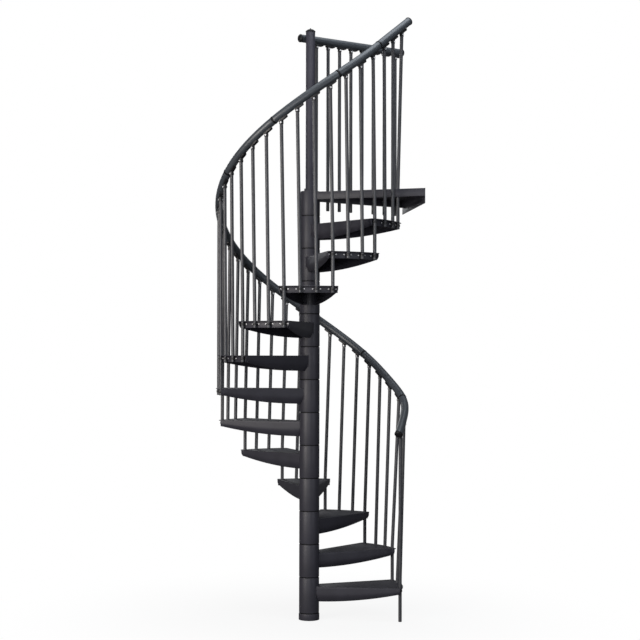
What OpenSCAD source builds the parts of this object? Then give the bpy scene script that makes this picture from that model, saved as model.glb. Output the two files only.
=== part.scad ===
// Spiral staircase in sheet steel: twelve wedge treads and a landing on one column,
// with a baluster rail round the outside and a straight guard on the landing.
// Origin: centre of the underside of the base plate, +Z up, sizes in millimetres.

/* [Stair] */
// Height from one tread to the next
rise = 210; // [170:1:260]
// Turn from one tread to the next, in degrees
step_angle = 29.2; // [28:0.1:31]
// Radius of the outer edge of the treads
stair_r = 600; // [480:1:760]
// Direction of the middle of the first tread, in degrees
first_angle = 6.3; // [-20:0.1:20]

/* [Column] */
// Outer radius of the tread hubs
hub_r = 64; // [50:0.5:80]
// Wall of the tread hubs
hub_wall = 4; // [3:0.5:6]
// Radius of the centre pole
pole_r = 30; // [22:0.5:32]
// Wall of the centre pole
pole_wall = 3; // [2:0.5:5]
// Running clearance between a part and the pole, on the radius
pole_gap = 0.3; // [0.1:0.1:0.6]
// Thickness of the spacer rings between the hubs
spacer_h = 6; // [3:0.5:12]
// Height of the foot, up to the middle of the first spacer ring
foot_h = 44; // [34:1:50]
// Height that the rises are counted from; the first hub reaches down past it to the foot
base_h = 62; // [50:1:80]
// Thickness of the base plate
base_plate_t = 8; // [6:1:15]
// Diameter of the anchor holes in the base plate
anchor_d = 11; // [6:0.5:13]
// Wall of the cover round the foot
cover_wall = 3; // [2:0.5:4]
// Height of the pole above the landing
pole_above = 1040; // [800:5:1300]

/* [Treads] */
// Thickness of the top plate
plate_t = 4; // [3:0.5:6]
// Depth of a hub's top end above the tread's top face
hub_above = 54; // [40:1:80]
// Half of the angle between the side edges, in degrees
edge_angle = 14; // [12:0.1:15]
// Distance from the stair's axis to the line of each side edge
edge_offset = 40; // [30:0.5:46]
// Radius of the outer corners of the plate
corner_r = 16; // [6:1:24]
// Thickness of the side flanges and the rim band
flange_t = 4; // [3:0.5:6]
// Depth of a side flange at the rim
flange_rim_depth = 42; // [34:1:60]
// Depth of a side flange at the hub
flange_hub_depth = 98; // [70:1:120]
// Distance from the plate's edge to the end of the side flanges
flange_inset = 13; // [8:0.5:18]
// Height of the rim band below the plate
band_h = 38; // [34:1:50]

/* [Balusters] */
// Diameter of a baluster
baluster_d = 22; // [16:0.5:26]
// Balusters in the width of one tread
balusters_per_step = 3; // [3:1:3]
// Distance from the plate's edge to a baluster's surface
lip_edge = 6; // [4:0.5:10]
// Clearance of a baluster in its hole, on the radius
baluster_gap = 0.5; // [0.3:0.1:1]
// Lean of the first balusters towards the foot of the stair, in degrees
lean_low = 3; // [0:0.1:4]
// Lean of the last balusters towards the foot of the stair, in degrees
lean_high = 1; // [0:0.1:3]
// Turn over which the lean fades, in degrees
lean_fade = 100; // [60:1:200]
// Extra pull of each of the last two balusters down the stair
end_pull = 18; // [0:1:25]

/* [Clamps] */
// Thickness of the strap of a baluster clamp
strap_t = 2.5; // [2:0.5:4]
// Height of the strap
strap_h = 14; // [10:1:18]
// Half of the strap's width
strap_half = 28; // [22:0.5:28]
// Depth of the strap's middle below the tread's top face
strap_depth = 19; // [14:1:24]

/* [Handrail] */
// Diameter of the handrail
rail_d = 50; // [38:0.5:54]
// Height of the handrail over the top of the first tread, at the first baluster
rail_h = 1053; // [900:1:1150]
// Length of the handrail before the first baluster
rail_before = 40; // [34:1:90]
// Length of the handrail past the last baluster
rail_past = 64; // [40:1:90]
// Drop of the handrail's lower end below its helix
start_drop = 12; // [0:1:60]
// Outward sweep of the handrail near its lower end
start_bulge = 34; // [0:1:40]
// Baluster number where the straight upper end begins
straight_from = 33.17; // [32:0.01:34]
// Length of a joint collar
collar_len = 12; // [8:1:20]
// Extra radius of the collars and end caps
collar_lip = 1.5; // [0.5:0.1:3]
// Thickness of a rail bracket under the rail
saddle_t = 10; // [6:0.5:14]
// Length of a rail bracket
saddle_len = 64; // [50:1:70]
// Width of a rail bracket
saddle_w = 24; // [18:1:30]
// Length of a bracket's socket above the baluster
socket_len = 18; // [12:1:28]

/* [Landing] */
// Distance from the column's axis to the landing's straight outer edge
landing_reach = 680; // [600:5:840]
// Distance from the column's axis to the line of each of the landing's side edges
landing_offset = 45; // [40:0.5:50]
// Half of the angle between the landing's side edges, in degrees
landing_half_angle = 24.65; // [20:0.05:30]
// Depth of the landing's side flanges
landing_flange = 50; // [40:1:70]
// Depth of the landing's outer flange
outer_flange = 95; // [80:1:120]
// Height of the top of the hub above the landing's top face
landing_hub_above = 2; // [1:0.5:6]
// Diameter of the wall bolt holes in the outer flange
wall_bolt_d = 13; // [9:0.5:17]
// Distance between the wall bolt holes
wall_bolt_pitch = 560; // [400:5:600]

/* [Guard] */
// Height of the guard rail's axis above the landing
guard_h = 1007; // [900:1:1150]
// Distance between the guard's balusters
guard_pitch = 90; // [80:0.5:110]
// Distance of the first guard baluster from the column, along the guard
guard_first = 82; // [80:1:110]
// Length of the guard rail past its first baluster
guard_past_first = 122; // [60:1:140]
// Length of the guard rail past its last baluster
guard_past_last = 52; // [52:1:80]
// Length of the guard's balusters below the landing's top face
guard_stub = 105; // [70:1:120]

/* [Hidden] */
$fn = 96;
tread_count = 12;
step_balusters = tread_count * balusters_per_step;
guard_count = 8;
eps = 0.01;

// The foot's cover stands just outside the hubs, and its plate and carrier tube inside it
cover_r = hub_r + 2;
base_plate_r = hub_r - 4;
carrier_r = base_plate_r - 16;
anchor_ring = base_plate_r - 8;

baluster_r = baluster_d / 2;
rail_r = rail_d / 2;
baluster_ring = stair_r - lip_edge - baluster_r;
flange_end_r = stair_r - flange_inset;
// Gap between a baluster and the steel it is clamped to
band_gap = 1;
band_r = baluster_ring - baluster_r - band_gap;
pitch_angle = step_angle / balusters_per_step;
first_baluster = first_angle - 1.5 * pitch_angle;
pole_bore_r = pole_r + pole_gap;

// The flanges are welded on just inside the plate's edges
plate_lip = 0.5;
outer_lip = 2;
tread_drop = hub_above + spacer_h / 2;
landing_top = tread_top(tread_count + 1);
landing_angle = tread_angle(tread_count + 1) - edge_angle + landing_half_angle;
landing_half_w = landing_offset / cos(landing_half_angle) + landing_reach * tan(landing_half_angle);
wall_bolt_depth = 0.6 * outer_flange;
landing_side_len = (landing_reach + landing_offset * sin(landing_half_angle)) / cos(landing_half_angle);
pole_top = landing_top + pole_above;

// A baluster is upright up to its bend just above the tread, and leans from there on
bend_above = 10;
lean_run = rail_h - 100;

// The handrail runs just outside the ring of balusters. The dip and the sweep at its foot
// fade out over these angles.
rail_out = 2;
drop_fade = 15;
bulge_middle = 17;
bulge_fade = 16;

straight_angle = baluster_angle(straight_from);
rail_start = baluster_top_angle(0) - rail_before / (baluster_ring * PI / 180);
rail_end = baluster_top_angle(step_balusters) + rail_past / (baluster_ring * PI / 180);
rail_joints = [2.5, 6.5, 10.5, 14.5, 18.5, 22.5, 26.5, 30.5, 33.5];

// Direction of a tread's middle line, and the height of its top face
function tread_angle(n) = first_angle + (n - 1) * step_angle;
function tread_top(n) = base_h + n * rise - tread_drop;
function joint_z(n) = n == 0 ? foot_h : base_h + n * rise;

// Places of the balusters, numbered from the foot of the stair
function baluster_angle(k) = first_baluster + k * pitch_angle;
function on_ring(r, a, z) = [r * cos(a), r * sin(a), z];
function lower_tread(k) = max(1, ceil(k / balusters_per_step));
function upper_tread(k) = floor(k / balusters_per_step) + 1;
function baluster_foot(k) = k == 0 ? 0 : tread_top(lower_tread(k)) - plate_t - band_h;
function lean(k) = lean_high + (lean_low - lean_high) * exp(-k * pitch_angle / lean_fade);
function lean_shift(k) = lean_run * tan(lean(k)) + end_pull * max(0, k - step_balusters + 2);
function baluster_top_angle(k) = baluster_angle(k) - lean_shift(k) / (baluster_ring * PI / 180);

// Centre line of the handrail at an angle: a helix that dips and sweeps out at its foot
// and runs straight on along its tangent at its head
function helix_z(a) = tread_top(1) + rail_h + rise * (a - first_baluster) / step_angle;
function rail_z(a) = helix_z(a) - start_drop * exp(-(a - rail_start) / drop_fade);
function rail_ring(a) = baluster_ring + rail_out
    + start_bulge * exp(-pow((a - first_baluster - bulge_middle) / bulge_fade, 2));
function straight_run(a) = rail_ring(straight_angle) * (a - straight_angle) * PI / 180;
function rail_at(a) = a < straight_angle
    ? on_ring(rail_ring(a), a, rail_z(a))
    : on_ring(rail_ring(straight_angle), straight_angle, rail_z(a))
        + straight_run(a) * on_ring(1, straight_angle + 90, 0);
function unit(v) = v / norm(v);
function rail_dir(a) = unit(rail_at(a + 0.5) - rail_at(a - 0.5));
function azimuth(v) = atan2(v.y, v.x);
function slope(v) = asin(v.z / norm(v));

// Room for the ends of the curved rail lengths against the flat collars
collar_room = 0.09 * rail_r;
// Joint between two rail lengths: the angle of its middle, and half a collar in degrees
function joint_angle(i) = baluster_top_angle(rail_joints[i]);
function half_collar(i) = collar_len / 2 * cos(slope(rail_dir(joint_angle(i)))) / (baluster_ring * PI / 180);
// Room for a leaning baluster's end under its upright socket
head_gap = 0.8;
// Clearance of an end cap on its rail's cut end, and of a bracket round its rail
cap_gap = 0.3;
saddle_gap = 0.8;
function bracket_drop(a) = (rail_r + saddle_t) / cos(slope(rail_dir(a))) + socket_len;

// Round bar through a list of points, with a ring of corners at each point; side_of is
// any direction that the bar never runs along
module sweep(path, r, sides, side_of) {
    last = len(path) - 1;
    corners = [
        for (i = [0:last])
            let (
                t = unit(path[min(i + 1, last)] - path[max(i - 1, 0)]),
                u = unit(cross(t, side_of)),
                v = cross(t, u)
            )
            for (j = [0:sides - 1])
                path[i] + r * (u * cos(j * 360 / sides) + v * sin(j * 360 / sides))
    ];
    walls = [
        for (i = [0:last - 1])
            for (j = [0:sides - 1])
                let (k = (j + 1) % sides)
                [i * sides + j, (i + 1) * sides + j, (i + 1) * sides + k, i * sides + k]
    ];
    first_end = [for (j = [0:sides - 1]) j];
    last_end = [for (j = [sides - 1:-1:0]) last * sides + j];
    polyhedron(corners, concat([first_end], walls, [last_end]));
}

// Places its children on the handrail's centre line, with +X up along the rail
module on_rail(a) {
    d = rail_dir(a);
    translate(rail_at(a)) rotate([0, -slope(d), azimuth(d)]) children();
}

// Foot plate bolted to the floor, with the tube that carries the stack of hubs
module base_plate() {
    color("dimgray") difference() {
        union() {
            cylinder(h = base_plate_t, r = base_plate_r);
            cylinder(h = foot_h - spacer_h / 2, r = carrier_r);
        }
        translate([0, 0, base_plate_t]) cylinder(h = foot_h, r = pole_bore_r);
        for (a = [45:90:315])
            rotate([0, 0, a]) translate([anchor_ring, 0, -1]) cylinder(h = base_plate_t + 2, d = anchor_d);
    }
}

// Round cover over the foot
module base_cover() {
    color("dimgray") difference() {
        cylinder(h = foot_h - spacer_h / 2, r = cover_r);
        translate([0, 0, -1]) cylinder(h = foot_h + 2, r = cover_r - cover_wall);
    }
}

module centre_pole() {
    color("dimgray") translate([0, 0, base_plate_t]) difference() {
        cylinder(h = pole_top - base_plate_t, r = pole_r);
        translate([0, 0, -1]) cylinder(h = pole_top + 2, r = pole_r - pole_wall);
    }
}

module spacer_rings() {
    color("black") for (n = [0:tread_count])
        translate([0, 0, joint_z(n) - spacer_h / 2]) difference() {
            cylinder(h = spacer_h, r = hub_r);
            translate([0, 0, -1]) cylinder(h = spacer_h + 2, r = pole_bore_r);
        }
}

// Ring that closes the hub round the pole on top of the landing
module pole_collar() {
    disc_r = hub_r - 2;
    disc_h = 4;
    ring_r = pole_r + 9;
    ring_h = 22;
    color("dimgray") translate([0, 0, landing_top + landing_hub_above]) difference() {
        union() {
            cylinder(h = disc_h, r = disc_r);
            cylinder(h = ring_h, r = ring_r);
        }
        translate([0, 0, -1]) cylinder(h = ring_h + 2, r = pole_bore_r);
    }
}

module pole_cap() {
    plug_h = 16;
    rim_r = pole_r + 2;
    rim_h = 8;
    cone_h = 12;
    tip_r = 4;
    tip_h = 6;
    color("black") translate([0, 0, pole_top]) union() {
        translate([0, 0, -plug_h]) cylinder(h = plug_h + eps, r = pole_r - pole_wall - pole_gap);
        cylinder(h = rim_h, r = rim_r);
        translate([0, 0, rim_h]) cylinder(h = cone_h, r1 = rim_r, r2 = tip_r);
        translate([0, 0, rim_h + cone_h]) cylinder(h = tip_h, r = tip_r);
    }
}

// Outline of a wedge between two side edges, with its outer corners still sharp
module wedge(half_angle, offset, reach) {
    at_axis = offset / cos(half_angle);
    at_end = at_axis + reach * tan(half_angle);
    polygon([[0, -at_axis], [reach, -at_end], [reach, at_end], [0, at_axis]]);
}

// What comes off one outer corner of a tread to round it
module tread_corner() {
    turn = edge_angle + asin((edge_offset - corner_r) / (stair_r - corner_r));
    centre = (stair_r - corner_r) * [cos(turn), sin(turn)];
    out = 2 * corner_r;
    difference() {
        polygon([
            centre,
            centre + out * [-sin(edge_angle), cos(edge_angle)],
            centre + 3 * out * [cos(turn / 2 + 45), sin(turn / 2 + 45)],
            centre + out * [cos(turn), sin(turn)],
        ]);
        translate(centre) circle(r = corner_r);
    }
}

module tread_outline() {
    difference() {
        intersection() {
            circle(r = stair_r);
            wedge(edge_angle, edge_offset, stair_r + 10);
        }
        tread_corner();
        mirror([0, 1]) tread_corner();
    }
}

// Side flange of a tread: its lower edge falls fast at the rim and levels out to the hub
module tread_flange() {
    hub_end = sqrt(pow(hub_r - hub_wall / 2, 2) - pow(edge_offset, 2));
    rim_end = sqrt(pow(flange_end_r, 2) - pow(edge_offset, 2));
    run = rim_end - hub_end;
    round_r = 12;
    notch = 12;
    deepen = flange_hub_depth - flange_rim_depth;
    lower_edge = [
        for (i = [1:12])
            let (s = i / 12)
            [rim_end - round_r - s * (run - round_r - notch), -flange_rim_depth - deepen * (1 - pow(1 - s, 2))]
    ];
    corner = [
        for (a = [0:-15:-90])
            [rim_end - round_r + round_r * cos(a), -flange_rim_depth + round_r + round_r * sin(a)]
    ];
    rotate([0, 0, edge_angle]) translate([0, edge_offset - plate_lip, 0]) rotate([90, 0, 0])
        linear_extrude(flange_t)
            polygon(concat([[hub_end, -plate_t / 2], [rim_end, -plate_t / 2]], corner, lower_edge,
                [[hub_end, -flange_hub_depth + 2 * notch]]));
}

// One tread at its own direction: plate, side flanges and rim band welded to a hub
module tread(n) {
    hub_low = joint_z(n - 1) + spacer_h / 2 - tread_top(n);
    translate([0, 0, tread_top(n)]) rotate([0, 0, tread_angle(n)]) difference() {
        union() {
            translate([0, 0, -plate_t]) linear_extrude(plate_t) tread_outline();
            tread_flange();
            mirror([0, 1, 0]) tread_flange();
            translate([0, 0, -plate_t - band_h]) linear_extrude(band_h + plate_t / 2) intersection() {
                difference() {
                    circle(r = band_r);
                    circle(r = band_r - flange_t);
                }
                wedge(edge_angle, edge_offset, stair_r);
            }
            translate([0, 0, hub_low]) cylinder(h = hub_above - hub_low, r = hub_r);
        }
        translate([0, 0, hub_low - 1]) cylinder(h = hub_above - hub_low + 2, r = hub_r - hub_wall);
        for (k = [-1.5:1.5])
            rotate([0, 0, k * pitch_angle]) translate([baluster_ring, 0, -plate_t - 1])
                cylinder(h = plate_t + 2, r = baluster_r + baluster_gap);
    }
}

// Upright plate along one side edge of the landing, just inside the plate's edge
module landing_side() {
    hub_end = sqrt(pow(hub_r - hub_wall / 2, 2) - pow(landing_offset, 2));
    rotate([0, 0, landing_half_angle])
        translate([hub_end, landing_offset - flange_t - plate_lip, -landing_flange])
            cube([landing_side_len - hub_end - flange_t, flange_t, landing_flange - plate_t / 2]);
}

// Landing: wedge plate to a straight outer edge that is bolted to the upper floor
module landing() {
    hub_low = joint_z(tread_count) + spacer_h / 2 - landing_top;
    color("dimgray") translate([0, 0, landing_top]) rotate([0, 0, landing_angle]) difference() {
        union() {
            translate([0, 0, -plate_t]) linear_extrude(plate_t) wedge(landing_half_angle, landing_offset, landing_reach);
            landing_side();
            mirror([0, 1, 0]) landing_side();
            translate([landing_reach - flange_t, outer_lip - landing_half_w, -outer_flange])
                cube([flange_t, 2 * (landing_half_w - outer_lip), outer_flange - plate_t / 2]);
            translate([0, 0, hub_low]) cylinder(h = landing_hub_above - hub_low, r = hub_r);
        }
        translate([0, 0, hub_low - 1]) cylinder(h = 1 - hub_low - plate_t / 2, r = hub_r - hub_wall);
        translate([0, 0, -plate_t]) cylinder(h = plate_t + landing_hub_above + 1, r = pole_bore_r);
        for (side = [-0.5, 0.5])
            translate([landing_reach + 1, side * wall_bolt_pitch, -wall_bolt_depth]) rotate([0, -90, 0])
                cylinder(h = flange_t + 2, d = wall_bolt_d);
        rotate([0, 0, baluster_angle(step_balusters) - landing_angle - 360])
            translate([baluster_ring, 0, -plate_t - 1]) cylinder(h = plate_t + 2, r = baluster_r + baluster_gap);
    }
}

// Baluster: upright through its clamps, then leaning to the bracket under the rail
module baluster(k) {
    a = baluster_angle(k);
    foot = on_ring(baluster_ring, a, baluster_foot(k));
    bend = on_ring(baluster_ring, a, tread_top(upper_tread(k)) + bend_above);
    head_angle = baluster_top_angle(k);
    top = rail_at(head_angle) - [0, 0, bracket_drop(head_angle) + head_gap];
    sweep([foot, bend, top], baluster_r, 16, on_ring(1, a, 0));
}

module balusters(first, last) {
    color("slategray") for (k = [first:last]) baluster(k);
}

// Strap bent over a baluster and screwed to the plate behind it
module clamp_strap() {
    grip = baluster_r + pole_gap;
    back = baluster_r + band_gap - pole_gap;
    translate([0, 0, -strap_h / 2]) difference() {
        union() {
            cylinder(h = strap_h, r = grip + strap_t);
            translate([-back, -strap_half, 0]) cube([strap_t, 2 * strap_half, strap_h]);
            translate([-back, -grip - strap_t, 0]) cube([back, 2 * (grip + strap_t), strap_h]);
        }
        translate([0, 0, -1]) cylinder(h = strap_h + 2, r = grip);
        translate([-back - grip - 1, -grip, -1]) cube([back + grip + 1, 2 * grip, strap_h + 2]);
    }
}

module baluster_clamps() {
    color("black") for (n = [1:tread_count], k = [-1.5:1.5])
        rotate([0, 0, tread_angle(n) + k * pitch_angle])
            translate([baluster_ring, 0, tread_top(n) - strap_depth]) clamp_strap();
}

// One length of the handrail, between two joint collars
module handrail(i) {
    from = i == 0 ? rail_start : joint_angle(i - 1) + half_collar(i - 1);
    to = i == len(rail_joints) ? rail_end : joint_angle(i) - half_collar(i);
    rings = ceil((to - from) / 3);
    path = [for (i = [0:rings]) rail_at(from + (to - from) * i / rings)];
    color("lightslategray") sweep(path, rail_r, 20, [0, 0, 1]);
}

module rail_collars() {
    color("black") for (i = [0:len(rail_joints) - 1])
        on_rail(joint_angle(i)) rotate([0, 90, 0])
            cylinder(h = collar_len - collar_room, r = rail_r + collar_lip, center = true);
}

// Cap on the end of a rail: a lip and a shallow dome, pointing along +X
module end_cap() {
    lip_h = 6;
    dome_h = 8;
    rotate([0, 90, 0]) {
        cylinder(h = lip_h, r = rail_r + collar_lip);
        translate([0, 0, lip_h]) cylinder(h = dome_h, r1 = rail_r, r2 = 0.6 * rail_r);
    }
}

module rail_end_caps() {
    color("black") {
        on_rail(rail_start) mirror([1, 0, 0]) translate([cap_gap, 0, 0]) end_cap();
        on_rail(rail_end) translate([cap_gap, 0, 0]) end_cap();
    }
}

// Bracket under a rail: a saddle along the rail with a socket for the baluster.
// The socket's lower end is at the origin and the rail's centre line passes above it.
module rail_bracket(rise_to_rail, rail_slope, rail_azimuth) {
    centre = [0, 0, rise_to_rail];
    socket_wall = 2;
    wrap = 0.4 * rail_r;
    low_end = (rise_to_rail - socket_len) * sin(rail_slope) + baluster_r + 2 * socket_wall;
    difference() {
        union() {
            translate(centre) rotate([0, -rail_slope, rail_azimuth])
                translate([-low_end, -saddle_w / 2, -rail_r - saddle_t])
                    cube([saddle_len, saddle_w, saddle_t + wrap]);
            cylinder(h = rise_to_rail - rail_r, r = baluster_r + socket_wall);
        }
        translate(centre) rotate([0, -rail_slope, rail_azimuth]) rotate([0, 90, 0])
            cylinder(h = 4 * saddle_len, r = rail_r + saddle_gap, center = true);
    }
}

module rail_brackets() {
    color("black") for (k = [0:step_balusters]) {
        a = baluster_top_angle(k);
        d = rail_dir(a);
        drop = bracket_drop(a);
        translate(rail_at(a) - [0, 0, drop]) rail_bracket(drop, slope(d), azimuth(d));
    }
}

// Places its children in the guard's own frame: X along the guard, origin on the landing's top
module on_guard() {
    translate([0, 0, landing_top]) rotate([0, 0, landing_angle + landing_half_angle])
        translate([0, landing_offset + baluster_r + band_gap, 0]) children();
}

function guard_x(i) = guard_first + i * guard_pitch;
guard_drop = rail_r + saddle_t + socket_len;
guard_from = guard_first - guard_past_first;
guard_to = guard_x(guard_count - 1) + guard_past_last;

module guard_rail() {
    color("lightslategray") on_guard() translate([guard_from, 0, guard_h]) rotate([0, 90, 0])
        cylinder(h = guard_to - guard_from, r = rail_r);
}

module guard_balusters() {
    color("slategray") on_guard() for (i = [0:guard_count - 1])
        translate([guard_x(i), 0, -guard_stub]) cylinder(h = guard_stub + guard_h - guard_drop, r = baluster_r);
}

module guard_brackets() {
    color("black") on_guard() for (i = [0:guard_count - 1])
        translate([guard_x(i), 0, guard_h - guard_drop]) rail_bracket(guard_drop, 0, 0);
}

module guard_end_caps() {
    color("black") on_guard() {
        translate([guard_from, 0, guard_h]) mirror([1, 0, 0]) end_cap();
        translate([guard_to, 0, guard_h]) end_cap();
    }
}

module guard_clamps() {
    color("black") on_guard() for (i = [0:guard_count - 1])
        translate([guard_x(i), 0, -landing_flange / 2]) rotate([0, 0, 90]) clamp_strap();
}

base_plate();
base_cover();
centre_pole();
spacer_rings();
pole_collar();
pole_cap();
color("dimgray") tread(1);  // tread_01
color("dimgray") tread(2);  // tread_02
color("dimgray") tread(3);  // tread_03
color("dimgray") tread(4);  // tread_04
color("dimgray") tread(5);  // tread_05
color("dimgray") tread(6);  // tread_06
color("dimgray") tread(7);  // tread_07
color("dimgray") tread(8);  // tread_08
color("dimgray") tread(9);  // tread_09
color("dimgray") tread(10);  // tread_10
color("dimgray") tread(11);  // tread_11
color("dimgray") tread(12);  // tread_12
landing();
balusters(0, 5);  // balusters_1
balusters(6, 11);  // balusters_2
balusters(12, 17);  // balusters_3
balusters(18, 23);  // balusters_4
balusters(24, 29);  // balusters_5
balusters(30, 36);  // balusters_6
baluster_clamps();
handrail(0);  // handrail_01
handrail(1);  // handrail_02
handrail(2);  // handrail_03
handrail(3);  // handrail_04
handrail(4);  // handrail_05
handrail(5);  // handrail_06
handrail(6);  // handrail_07
handrail(7);  // handrail_08
handrail(8);  // handrail_09
handrail(9);  // handrail_10
rail_collars();
rail_end_caps();
rail_brackets();
guard_rail();
guard_balusters();
guard_brackets();
guard_end_caps();
guard_clamps();
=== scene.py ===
"""Spiral staircase in coated sheet steel, put together from the floor up on its frame."""

import math

import bmesh
import bpy
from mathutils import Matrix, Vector


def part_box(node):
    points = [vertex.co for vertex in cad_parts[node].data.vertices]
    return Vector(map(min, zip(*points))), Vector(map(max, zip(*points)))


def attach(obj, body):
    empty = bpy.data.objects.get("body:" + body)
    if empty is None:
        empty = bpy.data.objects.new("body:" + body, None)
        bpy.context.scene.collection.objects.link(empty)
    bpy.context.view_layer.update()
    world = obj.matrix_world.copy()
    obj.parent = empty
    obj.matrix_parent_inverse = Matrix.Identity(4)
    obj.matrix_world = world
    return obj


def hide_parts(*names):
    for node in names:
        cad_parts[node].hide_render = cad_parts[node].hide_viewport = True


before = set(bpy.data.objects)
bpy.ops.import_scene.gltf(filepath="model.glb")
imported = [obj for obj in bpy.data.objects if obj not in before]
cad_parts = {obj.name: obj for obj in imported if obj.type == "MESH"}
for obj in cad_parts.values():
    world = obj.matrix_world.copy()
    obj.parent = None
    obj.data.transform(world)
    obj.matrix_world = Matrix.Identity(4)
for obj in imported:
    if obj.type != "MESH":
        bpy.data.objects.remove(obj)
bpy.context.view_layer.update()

# ---------------------------------------------------------------- camera
# A long lens nine metres off at chest height, square to the column, with the first tread
# and the landing to the right.
bpy.ops.object.camera_add(
    location=(0, -8.827, 1.685),
    rotation=(math.radians(91.485), math.radians(-0.14), math.radians(-0.43)),
)
camera = bpy.context.object
camera.data.lens = 77.23
camera.data.sensor_width = 36
camera.data.clip_end = 200
bpy.context.scene.camera = camera

# ---------------------------------------------------------------- studio
# A white sweep: a pale floor that fades out into a white surround, with a broad soft lamp to
# the front left and weaker, cooler ones in front, to the right, above and behind.
floor_radius = 60
floor_fade_from = 0.3
floor_fade_to = 2.2
floor_glow_least = 0.88
glow_on_stair = 0.08
floor_tone = (0.9, 0.9, 0.9, 1)
floor_roughness = 0.9
surround_light = 0.14
lamp_aim = Vector((0, 0, 1.9))

bpy.context.scene.view_settings.view_transform = "Standard"
world = bpy.data.worlds.new("surround")
bpy.context.scene.world = world
world.use_nodes = True
sky = world.node_tree
seen = sky.nodes["Background"]
seen.inputs["Color"].default_value = (1, 1, 1, 1)
lit = sky.nodes.new("ShaderNodeBackground")
lit.inputs["Color"].default_value = (0.94, 0.96, 1, 1)
lit.inputs["Strength"].default_value = surround_light
which = sky.nodes.new("ShaderNodeLightPath")
both = sky.nodes.new("ShaderNodeMixShader")
sky.links.new(which.outputs["Is Camera Ray"], both.inputs["Fac"])
sky.links.new(lit.outputs["Background"], both.inputs[1])
sky.links.new(seen.outputs["Background"], both.inputs[2])
sky.links.new(both.outputs["Shader"], sky.nodes["World Output"].inputs["Surface"])

bpy.ops.object.select_all(action="DESELECT")
bpy.ops.mesh.primitive_circle_add(vertices=96, radius=floor_radius, fill_type="NGON")
floor = bpy.context.object
floor.name = "studio_floor"
floor_paint = bpy.data.materials.new("floor_paint")
floor_paint.use_nodes = True
floor_tree = floor_paint.node_tree
matt = floor_tree.nodes["Principled BSDF"]
matt.inputs["Base Color"].default_value = floor_tone
matt.inputs["Roughness"].default_value = floor_roughness
glow = floor_tree.nodes.new("ShaderNodeEmission")
glow_path = floor_tree.nodes.new("ShaderNodeLightPath")
glow_strength = floor_tree.nodes.new("ShaderNodeMapRange")
glow_strength.inputs["To Min"].default_value = glow_on_stair
floor_place = floor_tree.nodes.new("ShaderNodeTexCoord")
distance = floor_tree.nodes.new("ShaderNodeVectorMath")
distance.operation = "LENGTH"
fade = floor_tree.nodes.new("ShaderNodeMapRange")
fade.interpolation_type = "SMOOTHSTEP"
fade.inputs["From Min"].default_value = floor_fade_from
fade.inputs["From Max"].default_value = floor_fade_to
fade.inputs["To Min"].default_value = floor_glow_least
sweep = floor_tree.nodes.new("ShaderNodeMixShader")
floor_tree.links.new(glow_path.outputs["Is Camera Ray"], glow_strength.inputs["Value"])
floor_tree.links.new(glow_strength.outputs["Result"], glow.inputs["Strength"])
floor_tree.links.new(floor_place.outputs["Object"], distance.inputs[0])
floor_tree.links.new(distance.outputs["Value"], fade.inputs["Value"])
floor_tree.links.new(fade.outputs["Result"], sweep.inputs["Fac"])
floor_tree.links.new(matt.outputs["BSDF"], sweep.inputs[1])
floor_tree.links.new(glow.outputs["Emission"], sweep.inputs[2])
floor_tree.links.new(sweep.outputs["Shader"], floor_tree.nodes["Material Output"].inputs["Surface"])
floor.data.materials.append(floor_paint)

for name, stand, size, power, tint in (
    ("key_lamp", (-5.4, -5.2, 2.6), 3.6, 400, (1.0, 0.95, 0.90)),
    ("front_lamp", (-0.8, -9.6, 2.4), 2.4, 175, (0.95, 0.96, 1.0)),
    ("fill_lamp", (5.0, -4.6, 2.2), 2.6, 60, (0.86, 0.92, 1.0)),
    ("top_lamp", (0.5, -1.0, 6.5), 4.0, 170, (0.88, 0.94, 1.0)),
    ("back_lamp", (-2.6, 6.8, 4.4), 2.6, 90, (0.95, 0.97, 1.0)),
):
    facing = (lamp_aim - Vector(stand)).to_track_quat("-Z", "Y").to_euler()
    bpy.ops.object.light_add(type="AREA", location=stand, rotation=facing)
    lamp = bpy.context.object
    lamp.name = name
    lamp.data.size = size
    lamp.data.energy = power
    lamp.data.color = tint

# ---------------------------------------------------------------- foot
# The column's foot: a steel plate bolted to the floor, hidden under a short round cover with
# a rolled top edge. Powder coated charcoal, as is most of the stair.
foot_low, foot_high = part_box("base_cover")
foot_r = foot_high.x
foot_wall = 0.003
foot_bead = 0.0015
plate_high = 0.008
plate_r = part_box("base_plate")[1].x
carrier_r = plate_r - 0.016
anchor_r = 0.0055
anchor_ring = plate_r - 0.008
nut_r = 1.5 * anchor_r
nut_high = 1.6 * plate_high
anchor_high = 1.9 * plate_high
cover_edge = 0.0004
foot_edge = 0.0005
fine_edge = 0.0008
merge_within = 0.00001
charcoal = (0.032, 0.031, 0.041)
settled_dust = (0.11, 0.108, 0.105)


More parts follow.
